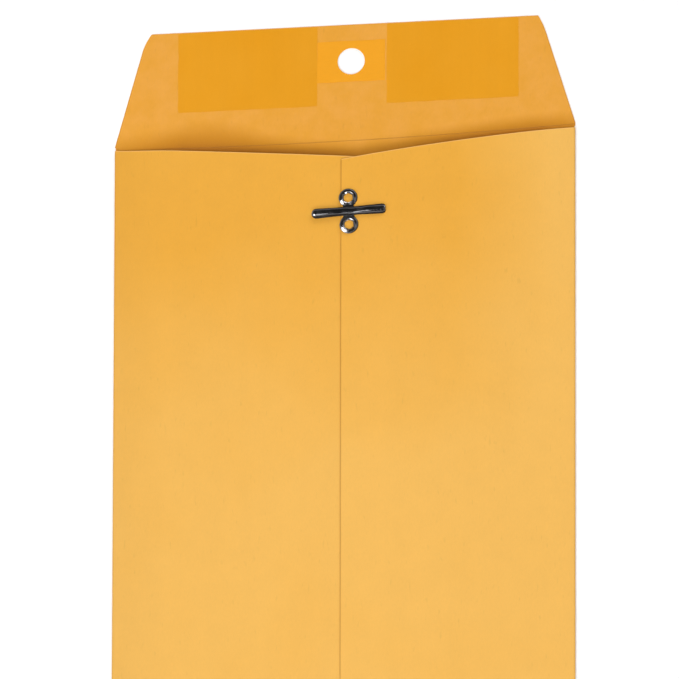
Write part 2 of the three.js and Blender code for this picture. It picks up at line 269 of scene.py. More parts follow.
def painted_mouth_shadow(x, y):
    """How much painted shadow lies on the inside: most at the side panels' cut edges, fading out
    beyond them.
    """
    place, width, depth = MOUTH_SHADOW_LEFT
    reach = MOUTH_SHADOW_REACH * MM + ((x - place * MM) / (width * MM)).bell() * (depth * MM)
    place, width, fainter = MOUTH_SHADOW_CENTRE
    strength = MOUTH_SHADOW_DEPTH - ((x - place * MM) / (width * MM)).bell() * fainter
    (left, left_run), (right, right_run) = MOUTH_SHADOW_ENDS
    ends = (left + (FOLD_X * MM + x) / (left_run * MM)).clamped()
    ends = ends * (right + (FOLD_X * MM - x) / (right_run * MM)).clamped()
    beyond = (y - mouth_line(x, -1).at_least(mouth_line(x, 1))) / reach
    return (1.0 - beyond).clamped() ** MOUTH_SHADOW_FALL * strength * ends


def outside_colour(finish, x, y, clouds):
    """Deep golden by the mouth, with painted light that pales it towards the bottom and the right, and
    painted shade on the folds.
    """
    # Painted light: paler towards the bottom and the right.
    low, high = PAINTED_LIGHT_BELOW
    down = (1.0 - (y - low * MM) / ((high - low) * MM)).clamped()
    start, end = PAINTED_LIGHT_RIGHT
    rightwards = ((x - start * MM) / ((end - start) * MM)).clamped()
    painted_light = 1.0 - (1.0 - down * down * (3.0 - 2.0 * down)) * (1.0 - rightwards)
    colour = finish.mix((painted_light + (clouds - 0.5) * CLOUDINESS).clamped(), OUTER_DEEP, OUTER_PALE)
    # Painted shade on the turns of the folds.
    width, strength = FOLD_TURN_SHADE
    from_middle = x.math("ABSOLUTE", x)
    folded = ((from_middle - (BODY_WIDTH / 2 - width) * MM) / (width * MM)).clamped()
    return finish.mix(folded * strength, colour, PAINTED_SHADE_BROWN)


def inside_colour(finish, x, y, clouds, mottle):
    """Redder, with a painted shadow at the mouth and painted shade in the score and along the flap's
    cut edges.
    """
    colour = finish.mix((mottle * 3.0 - 1.0 + (clouds - 0.5)).clamped(), INNER_KRAFT, INNER_ROSY)
    # Painted shadow at the mouth.
    mouth_shadow = painted_mouth_shadow(x, y)
    spread, strength = MOUTH_SHADOW_TINGE
    colour = finish.mix((mouth_shadow * spread).clamped() * strength, colour, MOUTH_SHADOW_GOLD)
    colour = finish.mix(mouth_shadow, colour, MOUTH_SHADOW_BROWN)
    # Painted shade in the score.
    colour = finish.mix(score(x, y) * SCORE_SHADE, colour, PAINTED_SHADE_BROWN)
    # Painted shade along the flap's cut edges.
    from_top = (CREASE_Y + FLAP_DEPTH) * MM - y
    rim = (1.0 - from_top / (RIM_WIDTH * MM)).clamped() * TOP_RIM_SHADE
    for side, (slant, foot) in ((-1, LEFT_SLANT), (1, RIGHT_SLANT)):
        edge = (BODY_WIDTH / 2 + (CREASE_Y + foot) * slant) * MM - y * slant
        beside = (1.0 - (edge - x * side) / (RIM_WIDTH * MM)).clamped()
        rim = rim.at_least(beside * SIDE_RIM_SHADE)
    return finish.mix(rim, colour, PAINTED_SHADE_BROWN)


def left_shade(x):
    """How much darker the left panel turns towards its fold."""
    start, end, strength = LEFT_SHADE
    leftwards = ((x - start * MM) / ((end - start) * MM)).clamped() * strength
    reach, strength = FOLD_SHADE
    return leftwards + ((x + FOLD_X * MM) / (reach * MM)).bell() * strength


def panel_shade(x, y, panel):
    """How much painted shade a side panel has in the step at the seam and by the bottom flap's edge.
    """
    width, strength = SEAM_SHADE
    line_shift, turn_shift = SEAM_SHIFTS
    # Painted shade in the step at the seam.
    over = (y - mouth_line(x, 1)) / (width * MM)
    seam = ((x - (SEAM_X - line_shift) * MM) / (width * MM)).bell() * (1.0 - over).clamped()
    # On the left panel it turns along the right panel's edge: a painted shadow cast by that edge.
    if panel < 0:
        lapped = ((x - (SEAM_X - turn_shift) * MM) / (width * MM)).clamped()
        seam = seam.at_least((over - 0.5).bell() * lapped)
    # Painted shade beside the bottom flap's edge.
    width, beside_seam, fade = BOTTOM_EDGE_SHADE
    below = ((BOTTOM_EDGE_Y + width) * MM - y) / (width * MM)
    ends = ((BOTTOM_EDGE_HALF * MM - x.math("ABSOLUTE", x)) / (fade * MM)).clamped()
    return seam.at_least(below.bell() * ends * beside_seam) * strength


def kraft(name, inside=False, panel=0):
    """The paper's finish. A side panel, -1 or 1, has a painted highlight along its cut lip and painted
    shade at the seam. It is laid on the sheet as it lies at rest, so that a folded flap keeps it."""
    finish = material(name)
    at = finish.add("ShaderNodeAttribute", {"attribute_name": "lay"}, {}, out="Vector")
    x = finish.part(at, "X")
    y = finish.part(at, "Y")
    clouds = finish.noise(at, 14.0, 2.0)
    mottle = finish.noise(at, 95.0, 4.0, 0.6)
    streaks = finish.noise(at, 85.0, 2.0, stretch=(1.0, 0.04, 1.0))
    fibres = finish.noise(at, 1500.0, 3.0, 0.65, stretch=(1.0, 0.35, 1.0))
    shives = finish.noise(at, 800.0, 1.0, 0.4, stretch=(1.0, 0.25, 1.0))
    grain = 1.0 + (mottle - 0.5) * MOTTLE + (streaks - 0.5) * STREAKING + (fibres - 0.5) * FIBRE_TINT
    grain = grain - ((shives - SHIVE_FROM) * SHIVE_EDGE).clamped() * SHIVE_TINT
    height = fibres * 0.6 + mottle * 0.4
    if inside:
        colour = inside_colour(finish, x, y, clouds, mottle)
        height = height - score(x, y) * SCORE_GROOVE
    else:
        colour = outside_colour(finish, x, y, clouds)
    if panel < 0:
        grain = grain * (1.0 - left_shade(x))
    if panel:
        # A painted highlight along the panel's cut top edge.
        width, strength = LIP_HIGHLIGHT
        lip_highlight = (1.0 - (mouth_line(x, panel) - y) / (width * MM)).clamped()
        colour = finish.mix(lip_highlight * strength, colour, PALE_CUT_EDGE_AND_HIGHLIGHT)
        # Painted shade at the seam and by the bottom flap's edge.
        colour = finish.mix(panel_shade(x, y, panel), colour, PAINTED_SHADE_BROWN)
    return finish.set(
        Base_Color=finish.tint(colour, grain),
        Roughness=0.64 + fibres * 0.22,
        Specular_IOR_Level=0.25,
        Normal=finish.relief(height, 0.00003, 0.6),
    )


def cut_edge():
    finish = material("kraft_cut_edge")
    fuzz = finish.noise(finish.place(), 2200.0, 2.0)
    return finish.set(
        Base_Color=finish.tint(finish.mix(fuzz, PALE_CUT_EDGE_AND_HIGHLIGHT, OUTER_PALE), 0.9 + fuzz * 0.2),
        Roughness=0.8 + fuzz * 0.15,
        Specular_IOR_Level=0.2,
        Normal=finish.relief(fuzz, 0.00004, 0.8),
    )


kraft_outside = kraft("kraft_outside")
kraft_left = kraft("kraft_left_panel", panel=-1)
kraft_right = kraft("kraft_right_panel", panel=1)
kraft_inside = kraft("kraft_inside", inside=True)
kraft_edge = cut_edge()


def piece_from(name, mesh, materials=(), crisp=40):
    """A piece from its mesh, which remembers as "lay" where each point lies at rest."""
    mesh.polygons.foreach_set("use_smooth", [True] * len(mesh.polygons))
    mesh.set_sharp_from_angle(angle=math.radians(crisp))
    for each in materials:
        mesh.materials.append(each)
    lay = mesh.attributes.get("lay") or mesh.attributes.new("lay", "FLOAT_VECTOR", "POINT")
    points = np.empty(3 * len(mesh.vertices), dtype=np.float32)
    mesh.vertices.foreach_get("co", points)
    lay.data.foreach_set("vector", points)
    piece = bpy.data.objects.new(name, mesh)
    scene.collection.objects.link(piece)
    return piece


def closed_sheet(name, upper, lower, materials, crisp=40):
    """A piece between two grids of points, each [across][along] and in millimetres. The materials
    are its upper face's, its lower face's and its cut edges'; one alone covers it all."""
    upper = np.asarray(upper, float)
    lower = np.asarray(lower, float)
    columns, rows = upper.shape[:2]
    count = columns * rows
    index = np.arange(count).reshape(columns, rows)

    def quads(a, b, c, d):
        return np.stack([a.ravel(), b.ravel(), c.ravel(), d.ravel()], 1)

    top = quads(index[:-1, :-1], index[1:, :-1], index[1:, 1:], index[:-1, 1:])
    base = quads(index[:-1, :-1], index[:-1, 1:], index[1:, 1:], index[1:, :-1]) + count
    rim = np.concatenate([index[:, 0], index[-1, 1:], index[-2::-1, -1], index[0, -2:0:-1]])
    after = np.roll(rim, -1)
    sides = quads(rim, rim + count, after + count, after)
    mesh = bpy.data.meshes.new(name)
    points = np.concatenate([upper.reshape(-1, 3), lower.reshape(-1, 3)]) * MM
    mesh.from_pydata(points.tolist(), [], np.concatenate([top, base, sides]).tolist())
    piece = piece_from(name, mesh, materials, crisp)
    if len(materials) == 3:
        slots = [0] * len(top) + [1] * len(base) + [2] * len(sides)
        mesh.polygons.foreach_set("material_index", slots)
    return piece


# The address face. The middle panel of the blank, flat on the table. Only a sliver of its inside
# shows, in the V of the mouth.

CREASE_BEND = 1.0  # how much of the sheet bends at the score
CREASE_START = CREASE_Y - CREASE_BEND / 2
CREASE_END = CREASE_Y + CREASE_BEND / 2
FACE_COLUMNS = 61
FACE_ROWS = 81


def flat_grid(across, along, height):
    x, y = np.meshgrid(across, along, indexing="ij")
    return np.stack([x, y, np.full_like(x, height)], -1)


across = np.linspace(-FOLD_X, FOLD_X, FACE_COLUMNS)
along = np.linspace(FOOT_Y, CREASE_START, FACE_ROWS)
front = closed_sheet(
    "front_panel_sheet",
    flat_grid(across, along, PAPER),
    flat_grid(across, along, 0),
    (kraft_inside, kraft_outside, kraft_inside),
)
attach(front, "root")
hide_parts("front_panel")


# The side panels. The left one is folded over first and the right one laps over it, glued along
# the centre seam. Their tops are cut away in a shallow V, and they bow up a little, open.

CROWN = 2.1
CROWN_LENGTH = 70
FOOT_CROWN = 0.6
MOUTH_LIFT = 2.05
MOUTH_RUN = (8, 60)  # how far under the crease the mouth's lift gives way to the crown
LEFT_LIFT_SHAPE = 1.0
RIGHT_LIFT_SHAPE = 1.6
RIPPLE = 0.14
RIPPLE_LENGTHS = (93.0, 71.0, 47.0)
RIPPLE_FREE = (22, 55)  # round the clasp: none within the first distance, full beyond the second
RIPPLE_OVAL = 1.4  # these distances are shorter along the sheet
RIPPLE_FADES = ((2, 40), (24, 60), (10, 40))  # the same at the side folds, the bottom and the crease
SEAT = 0.05
GLUE = 0.1
LAP_STEP = PAPER + GLUE + 2 * SEAT
LAP = 18
LAP_END = SEAM_X + LAP
FOLD_ARC = 14
PANEL_COLUMNS = 90
PANEL_ROWS = 130
ROW_CROWDING = 1.3  # a power: over 1, the rows stand closer at the mouth
CLASP_X = 2.5
CLASP_Y = CREASE_Y - 39.6


def smooth(value, low, high):
    t = np.clip((value - low) / (high - low), 0, 1)
    return t * t * (3 - 2 * t)


def ripple(x, y):
    """The faint cockle of paper that has been wet along its glue lines; none by the clasp."""
    a, b, c = (2 * np.pi / length for length in RIPPLE_LENGTHS)
    waves = np.sin(a * x + 0.7 * b * y) * np.cos(b * y - 0.4 * c * x) + 0.5 * np.sin(c * x - a * y)
    by_clasp = smooth(np.hypot(x - CLASP_X, (y - CLASP_Y) * RIPPLE_OVAL), *RIPPLE_FREE)
    for_folds, for_bottom, for_crease = RIPPLE_FADES
    inside = smooth(FOLD_X - np.abs(x), *for_folds) * smooth(y - FOOT_Y, *for_bottom)
    return RIPPLE * waves * by_clasp * inside * smooth(CREASE_Y - y, *for_crease)


def bow(x, y):
    """How far the clasp side stands off the address face, beyond the gap in the side folds."""
    rise = smooth(y, FOOT_Y, CREASE_Y - CROWN_LENGTH)
    full = (FOOT_CROWN + (CROWN - FOOT_CROWN) * rise) * (1 - (x / FOLD_X) ** 2)
    shape = np.where(np.asarray(x) < 0, LEFT_LIFT_SHAPE, RIGHT_LIFT_SHAPE)
    mouth = MOUTH_LIFT * (0.5 + 0.5 * np.cos(np.pi * x / FOLD_X)) ** shape
    return mouth + (full - mouth) * smooth(CREASE_Y - y, *MOUTH_RUN) + ripple(x, y)


def left_under(x, y):
    """The height of the left panel's lower face."""
    return PAPER + FOLD_GAP + bow(x, y)


def right_under(x, y):
    return left_under(x, y) + LAP_STEP * smooth(FOLD_X - x, 0, FOLD_X - LAP_END)


def mouth_edge(side, x):
    """The line of mouth_line, for the mesh and in millimetres."""
    drop, cut, curve, dip = LEFT_MOUTH if side < 0 else RIGHT_MOUTH
    share = np.maximum(1 - side * x / FOLD_X, 0)
    return CREASE_Y - drop - cut * share**curve - dip * np.exp(-((share * FOLD_X / DIP_WIDTH) ** 2))


def side_panel(name, side, free_x, under):
    """A panel from the turn at its fold to its free edge, over a given lower face."""
    turns = np.linspace(-math.pi / 2, math.pi / 2, FOLD_ARC + 1)
    flats = np.linspace(side * FOLD_X, free_x, PANEL_COLUMNS + 1)[1:]
    share = 1 - (1 - np.linspace(0, 1, PANEL_ROWS + 1)) ** ROW_CROWDING
    faces = []
    for radius, lift in ((FOLD_RADIUS, PAPER), (FOLD_GAP / 2, 0)):
        columns = []
        for a in turns:
            y = FOOT_Y + (mouth_edge(side, side * FOLD_X) - FOOT_Y) * share
            x = np.full_like(y, side * (FOLD_X + radius * math.cos(a)))
            columns.append(np.stack([x, y, np.full_like(y, FOLD_RADIUS + radius * math.sin(a))], -1))
        for x in flats:
            y = FOOT_Y + (mouth_edge(side, x) - FOOT_Y) * share
            columns.append(np.stack([np.full_like(y, x), y, under(x, y) + lift], -1))
        faces.append(np.array(columns if side < 0 else columns[::-1]))
    outside = kraft_left if side < 0 else kraft_right
    piece = closed_sheet(name, *faces, (outside, kraft_inside, kraft_edge))
    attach(piece, "root")
    return piece


left_panel = side_panel("left_side_panel_sheet", -1, LAP_END, left_under)
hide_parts("left_side_panel")
right_panel = side_panel("right_side_panel_sheet", 1, SEAM_X, right_under)
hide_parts("right_side_panel")


# The bottom flap. It is folded up over both side panels and glued down, its ends cut on a slant.

BOTTOM_REACH = 1
BOTTOM_ARC = 17
BOTTOM_ROWS = 20
BOTTOM_COLUMNS = (40, 50)  # to the left and to the right of the seam
STEP_RUN = 3  # over which the flap climbs from the left panel onto the right one


def side_top(x, y):
    """What the bottom flap lies on: the left panel, and after a step up the right one."""
    step = np.clip((x - SEAM_X) / STEP_RUN + 1, 0, 1)
    return left_under(x, y) + PAPER + (right_under(x, y) - left_under(x, y)) * step


def bottom_flap():
    reach = FOLD_X - BOTTOM_INSET
    gap = GLUE + 2 * SEAT
    turns = np.linspace(-math.pi / 2, math.pi / 2, BOTTOM_ARC)
    rows = np.linspace(0, 1, BOTTOM_ROWS)[1:]
    left_count, right_count = BOTTOM_COLUMNS
    columns = np.concatenate(
        [
            np.linspace(-reach, SEAM_X - STEP_RUN, left_count),
            np.linspace(SEAM_X, reach, right_count),
        ]
    )
    faces = []
    for layer in (PAPER, 0):
        grid = []
        for x in columns:
            column = []
            half = (side_top(x, FOOT_Y) + gap - PAPER) / 2
            for a in turns:
                y = FOOT_Y - (BOTTOM_REACH + layer) * math.cos(a)
                column.append((x, y, PAPER + half + (half + layer) * math.sin(a)))
            for t in rows:
                y = FOOT_Y + (BOTTOM_EDGE_Y - FOOT_Y) * t
                x_here = x * (1 - BOTTOM_TAPER * t / reach)
                column.append((x_here, y, side_top(x_here, y) + gap + layer))
            grid.append(column)
        faces.append(np.array(grid))
    return closed_sheet("bottom_flap_sheet", *faces, (kraft_outside, kraft_inside, kraft_edge))


bottom = bottom_flap()
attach(bottom, "root")
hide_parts("bottom_flap")


# The closure flap. The same sheet as the address face, beyond the scored crease, with its rows
# close together at the crease. The sides slant in, the corners are curved, and the clasp's hole is
# punched.

FLAP_TOPS = (96.3, 95.9)  # how far its top edge reaches to the left and to the right
CORNER_RISE = 9
HOLE_X = 3.1
HOLE_Y = CREASE_Y + 38.3
HOLE_RADIUS = 6.75
HOLE_SIDES = 96
BEND_ROWS = 15
FLAP_ROWS = 40


def flap_side(side, y):
    """How far the flap reaches to one side at a height over the crease."""
    slant, foot = LEFT_SLANT if side < 0 else RIGHT_SLANT
    top = FLAP_TOPS[0] if side < 0 else FLAP_TOPS[1]
    turn_y = FLAP_DEPTH - CORNER_RISE
    if y <= turn_y:
        return BODY_WIDTH / 2 - slant * max(y - foot, 0)
    t = (y - turn_y) / CORNER_RISE
    bent = BODY_WIDTH / 2 - slant * (turn_y - foot + CORNER_RISE / 2)
    start = BODY_WIDTH / 2 - slant * (turn_y - foot)
    return (1 - t) ** 2 * start + 2 * t * (1 - t) * bent + t * t * top


def punched(piece, x, y, radius):
    """Cuts a round hole through a flat piece."""
    angles = np.linspace(0, 2 * math.pi, HOLE_SIDES, endpoint=False)
    ring = [(x + radius * math.cos(a), y + radius * math.sin(a)) for a in angles]
    points = [(a * MM, b * MM, z * MM) for z in (-2, 2) for a, b in ring]
    n = len(ring)
    faces = [tuple(range(n))[::-1], tuple(range(n, 2 * n))]
    faces += [(i, (i + 1) % n, n + (i + 1) % n, n + i) for i in range(n)]
    punch_mesh = bpy.data.meshes.new("punch")
    punch_mesh.from_pydata(points, [], faces)
    punch_mesh.materials.append(kraft_edge)
    punch = bpy.data.objects.new("punch", punch_mesh)
    scene.collection.objects.link(punch)
    cut = piece.modifiers.new("punch", "BOOLEAN")
    cut.operation = "DIFFERENCE"
    cut.solver = "EXACT"
    cut.material_mode = "TRANSFER"
    cut.object = punch
    graph = bpy.context.evaluated_depsgraph_get()
    mesh = bpy.data.meshes.new_from_object(piece.evaluated_get(graph))
    name = piece.name
    bpy.data.objects.remove(piece)
    bpy.data.objects.remove(punch)
    return piece_from(name, mesh)


flap_rows = np.concatenate(
    [
        np.linspace(CREASE_START, CREASE_END, BEND_ROWS) - CREASE_Y,
        np.linspace(RIGHT_SLANT[1], FLAP_DEPTH, FLAP_ROWS),
    ]
)
shares = np.linspace(-1, 1, FACE_COLUMNS)
flap_faces = [
    [[(s * flap_side(s, y), CREASE_Y + y, z) for y in flap_rows] for s in shares]
    for z in (PAPER, 0)
]
flap = closed_sheet("closure_flap_sheet", *flap_faces, (kraft_inside, kraft_outside, kraft_edge))
flap = punched(flap, HOLE_X, HOLE_Y, HOLE_RADIUS)
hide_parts("closure_flap")
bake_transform(flap)


# The gum. Two fields of remoistening adhesive, rolled on wet and dried to a faintly glossy film
# that darkens the paper under it. They stop a hair short of the flap's free edge.

GUM = 0.06
FILM_SEAT = 0.005  # between the paper and what lies on it
FILM_THINNED = 0.8  # how far in from its edge a film is thinner
FILM_EDGE = 0.45  # its thickness at the edge, against the full one
FILM_KNOTS = 14
FILM_COLUMNS = 61
FILM_ROWS = 41
GUM_EDGE = 0.6
GUM_DEPTH = 40.6
GUM_WAVER = 0.09
GUM_SPANS = ((-83.0, -13.75), (20.75, 86.2))
GUM_AMBER = (0.775, 0.312, 0.007)
GUM_PALE = (0.805, 0.343, 0.011)


def dried_gum():
    finish = material("dried_gum")
    at = finish.place()
    pools = finish.noise(at, 35.0, 2.0)
    strokes = finish.noise(at, 160.0, 2.0, stretch=(1.0, 0.04, 1.0))
    fibres = finish.noise(at, 1300.0, 3.0, 0.6, stretch=(1.0, 0.35, 1.0))
    grain = 1.0 + (strokes - 0.5) * 0.05 + (fibres - 0.5) * 0.05
    return finish.set(
        Base_Color=finish.tint(finish.mix(pools, GUM_AMBER, GUM_PALE), grain),
        Roughness=0.30 + pools * 0.14,
        Specular_IOR_Level=0.4,
        Normal=finish.relief(fibres * 0.5 + strokes * 0.6, 0.00002, 0.4),
    )


gum_finish = dried_gum()


def film(name, x_span, y_span, thickness, finish, waver, seed):
    """A thin field on the flap, with a slightly wavering outline and a thinned edge."""
    base = PAPER + FILM_SEAT
    rng = np.random.default_rng(seed)
    u = np.linspace(0, 1, FILM_COLUMNS)
    v = np.linspace(0, 1, FILM_ROWS)

    def wander(count):
        knots = rng.normal(0, waver, FILM_KNOTS)
        return np.interp(np.linspace(0, FILM_KNOTS - 1, count), np.arange(FILM_KNOTS), knots)

    left, right = wander(v.size), wander(v.size)
    low, high = wander(u.size), wander(u.size)
    (x0, x1), (y0, y1) = x_span, y_span
    upper = np.zeros((u.size, v.size, 3))
    for i, a in enumerate(u):
        for j, b in enumerate(v):
            x = (x0 + left[j]) * (1 - a) + (x1 + right[j]) * a
            y = (y0 + low[i]) * (1 - b) + (y1 + high[i]) * b
            margin = min(x - x0, x1 - x, y - y0, y1 - y)
            fullness = FILM_EDGE + (1 - FILM_EDGE) * min(max(margin / FILM_THINNED, 0), 1)
            upper[i, j] = (x, y, base + thickness * fullness)
    lower = upper.copy()
    lower[:, :, 2] = base
    return closed_sheet(name, upper, lower, (finish,))


gum_top = CREASE_Y + FLAP_DEPTH - GUM_EDGE
for side, span, seed in (("left", GUM_SPANS[0], 3), ("right", GUM_SPANS[1], 4)):
    gum_y = (gum_top - GUM_DEPTH, gum_top)
    gum = film(f"gum_film_{side}", span, gum_y, GUM, gum_finish, GUM_WAVER, seed)
    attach(gum, "flap")
    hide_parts(f"gum_patch_{side}")


# The hole's patch. A piece of smooth golden paper, glued on before the hole is punched through
# both, so that the clasp's prongs don't tear the flap.

PATCH = 0.12
PATCH_WIDTH = 33.6
PATCH_DEPTH = 21
PATCH_WAVER = 0.05
PATCH_GOLD = (0.855, 0.345, 0.007)
PATCH_PALE = (0.880, 0.367, 0.014)


def patch_paper():
    finish = material("patch_paper")
    at = finish.place()
    clouds = finish.noise(at, 60.0, 3.0)
    fibres = finish.noise(at, 1400.0, 3.0, 0.6, stretch=(0.4, 1.0, 1.0))
    return finish.set(
        Base_Color=finish.tint(finish.mix(clouds, PATCH_GOLD, PATCH_PALE), 0.96 + fibres * 0.08),
        Roughness=0.5 + fibres * 0.2,
        Specular_IOR_Level=0.25,
        Normal=finish.relief(fibres, 0.00002, 0.5),
    )


patch_finish = patch_paper()
patch = film(
    "hole_patch",
    (HOLE_X - PATCH_WIDTH / 2, HOLE_X + PATCH_WIDTH / 2),
    (HOLE_Y - PATCH_DEPTH / 2, HOLE_Y + PATCH_DEPTH / 2),
    PATCH,
    patch_finish,
    PATCH_WAVER,
    seed=8,
)
patch = punched(patch, HOLE_X, HOLE_Y, HOLE_RADIUS)
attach(patch, "flap")
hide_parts("hole_reinforcement_patch")
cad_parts["clasp_backing_patch"].data.materials.clear()
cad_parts["clasp_backing_patch"].data.materials.append(patch_finish)


# The glue in the laps. Two dried lines of white adhesive under the seam and the bottom flap.

GLUE_CREAM = (0.79, 0.66, 0.36)
GLUE_DARK = (0.62, 0.48, 0.22)


def dried_glue():
    finish = material("dried_glue")
    beads = finish.noise(finish.place(), 240.0)
    return finish.set(
        Base_Color=finish.mix(beads, GLUE_DARK, GLUE_CREAM),
        Roughness=0.35 + beads * 0.3,
        Normal=finish.relief(beads, 0.00004, 1.0),
    )


glue_finish = dried_glue()
for name in ("seam_glue_line", "bottom_glue_line"):
    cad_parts[name].data.materials.clear()
    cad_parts[name].data.materials.append(glue_finish)


# The clasp. One stamping of tinned sheet steel: two eyelet ears with rolled rims, and a stem that
# carries the prongs' half-round form across. Burrs at the holes are clenched inside the panel.

CLASP_TURN = math.radians(1.95)
CLASP_Z = 3.3303  # just over the right panel's upper face there
METAL = 0.4
EAR_SPACING = 13.7
EAR_STEPS = 180
RIM = (  # radius and height of the rolled rim, from its foot over the crest into the hole
    (4.65, 0.0), (4.64, 0.14), (4.57, 0.27), (4.43, 0.38), (4.2, 0.48), (3.95, 0.575),
    (3.7, 0.665), (3.45, 0.745), (3.25, 0.80), (3.08, 0.84), (2.97, 0.83), (2.85, 0.75),
    (2.7, 0.62), (2.5, 0.45), (2.35, 0.32), (2.22, 0.2), (2.15, 0.0),
)
RIM_UNDER = ((2.42, 0.1), (2.62, 0.28), (2.85, 0.46), (3.2, 0.5), (3.7, 0.38), (4.1, 0.2), (4.3, 0.0))
RIM_OUTSIDE = RIM[9::-1]  # from the crest out to the foot
RIM_WALL = (2.95, 0.45)  # the hole's wall: below which radius, and how soon it is fully there
# From which radius the rim's foot is painted dark, and how soon fully: a painted dark reflection and
# shade.
RIM_FOOT = (4.1, 0.25)
NECK_FLATTENING = 0.42
NECK_ANGLE = 0.62
PETALS = 6
PETAL_THICKNESS = 0.22
METAL_CRISP = 50  # edges sharper than this many degrees stay crisp
SPLIT_DEPTH = 0.28
SPLIT_ANGLE = math.radians(7)
# The ears' foot stays unpainted towards this side, where the crescent highlight shows.
SHINE_FROM = math.radians(-140)
SHINE_ANGLE = math.radians(42)
PAINTED_DARK_FULL = 0.97
STEM_HALF = 2.5
STEM_END = 3.8
BAR_FILLET = (0.35, 0.8, 2.2)  # its width, its run along the stem, a power for its hollow
EAR_FILLET = (0.75, 1.3, 1.6)
EAR_FILLET_FROM = 2.3
STEM_MERGE = 6  # a power: the higher, the sharper the stem's top meets a rim's bead
STEM_EDGE = (0.05, 8)  # how far its long edges are rounded down, a power for how tightly
STEM_ROWS = 95
STEM_COLUMNS = 29
BAR_HALF = 2.15
BAR_DOME = 0.50
BAR_COVER = 0.03  # how far the stem's dome lies under the prongs'
DOME_FULLNESS = 0.8  # a power: 0.5 makes half an ellipse, 1 a parabola
WELD = 0.03  # how far the stem sinks where it meets a rim
PRONG_REACH = 2.75
TIN = (0.42, 0.42, 0.435)
TARNISH = (0.24, 0.235, 0.245)
# Near black: dirt at random, and the painted dark reflection and shade.
DIRT_AND_PAINTED_DARK = (0.018, 0.015, 0.013)

clasp_place = Matrix.Translation(Vector((CLASP_X, CLASP_Y, CLASP_Z)) * MM) @ Matrix.Rotation(
    CLASP_TURN, 4, "Z"
)


def tinned_steel():
    finish = material("tinned_steel")
    at = finish.place()
    clouds = finish.noise(at, 260.0)
    scratches = finish.noise(at, 2600.0, 2.0, 0.6, stretch=(0.06, 1.0, 1.0))
    pits = finish.noise(at, 1900.0, 2.0)
    # The points' painted dark reflection and shade, with dirt at random from the clouds.
    grime = finish.add("ShaderNodeAttribute", {"attribute_name": "grime"}, {}, out="Fac")
    metal = finish.mix((clouds * 1.6 - 0.4).clamped(), TARNISH, TIN)
    dirt_and_painted_dark = (grime + (clouds - 0.5) * 0.3).clamped()
    return finish.set(
        Base_Color=finish.mix(dirt_and_painted_dark, metal, DIRT_AND_PAINTED_DARK),
        Metallic=1.0 - dirt_and_painted_dark,
        Roughness=0.08 + clouds * 0.08 + scratches * 0.05 + dirt_and_painted_dark * 0.4,
        Specular_IOR_Level=0.0,
        Normal=finish.relief(scratches * 0.7 + pits * 0.3, 0.000012, 0.5),
    )


steel_finish = tinned_steel()


def store_painted_dark(mesh, values):
    """Stores how much painted dark reflection and shade each point has, for the metal's finish."""
    mesh.attributes.new("grime", "FLOAT", "POINT").data.foreach_set("value", values)


def by_neck(angle):
    """1 on the side of an ear that runs into the stem."""
    return math.exp(-((angle / NECK_ANGLE) ** 2))


def ear(mesh_points, mesh_faces, grime, side):
    """The rolled rim: a closed section, turned round the hole and flattened into the stem. Its
    inner wall is split into teeth. Painted shade sits in the splits, and a painted dark reflection
    and shade round the foot, except by the stem and on the side of the crescent highlight."""
    section = RIM + RIM_UNDER
    wall, wall_run = RIM_WALL
    foot_from, foot_run = RIM_FOOT
    start = len(mesh_points)
    n = len(section)
    for i in range(EAR_STEPS):
        a = 2 * math.pi * i / EAR_STEPS
        neck = by_neck(math.remainder(a + side * math.pi / 2, 2 * math.pi))
        off_split = math.remainder(PETALS * a + math.pi, 2 * math.pi) / PETALS
        split = math.exp(-((off_split / SPLIT_ANGLE) ** 2))
        shine = math.exp(-((math.remainder(a - SHINE_FROM, 2 * math.pi) / SHINE_ANGLE) ** 2))
        for r, z in section:
            inside = max(0.0, min(1.0, (wall - r) / wall_run))
            r_here = r + SPLIT_DEPTH * split * inside
            z_here = z * (1 - NECK_FLATTENING * neck)
            x, y = r_here * math.cos(a), side * EAR_SPACING / 2 + r_here * math.sin(a)
            mesh_points.append((x, y, z_here))
            # Painted shade in the splits; a painted dark reflection and shade round the foot.
            foot = max(0.0, min(1.0, (r - foot_from) / foot_run)) * (1 - neck) * (1 - shine)
            grime.append(PAINTED_DARK_FULL * max(foot, split * inside))
    for i in range(EAR_STEPS):
        k = (i + 1) % EAR_STEPS
        for j in range(n):
            m = (j + 1) % n
            ring = (i * n + j, k * n + j, k * n + m, i * n + m)
            mesh_faces.append(tuple(start + q for q in ring))


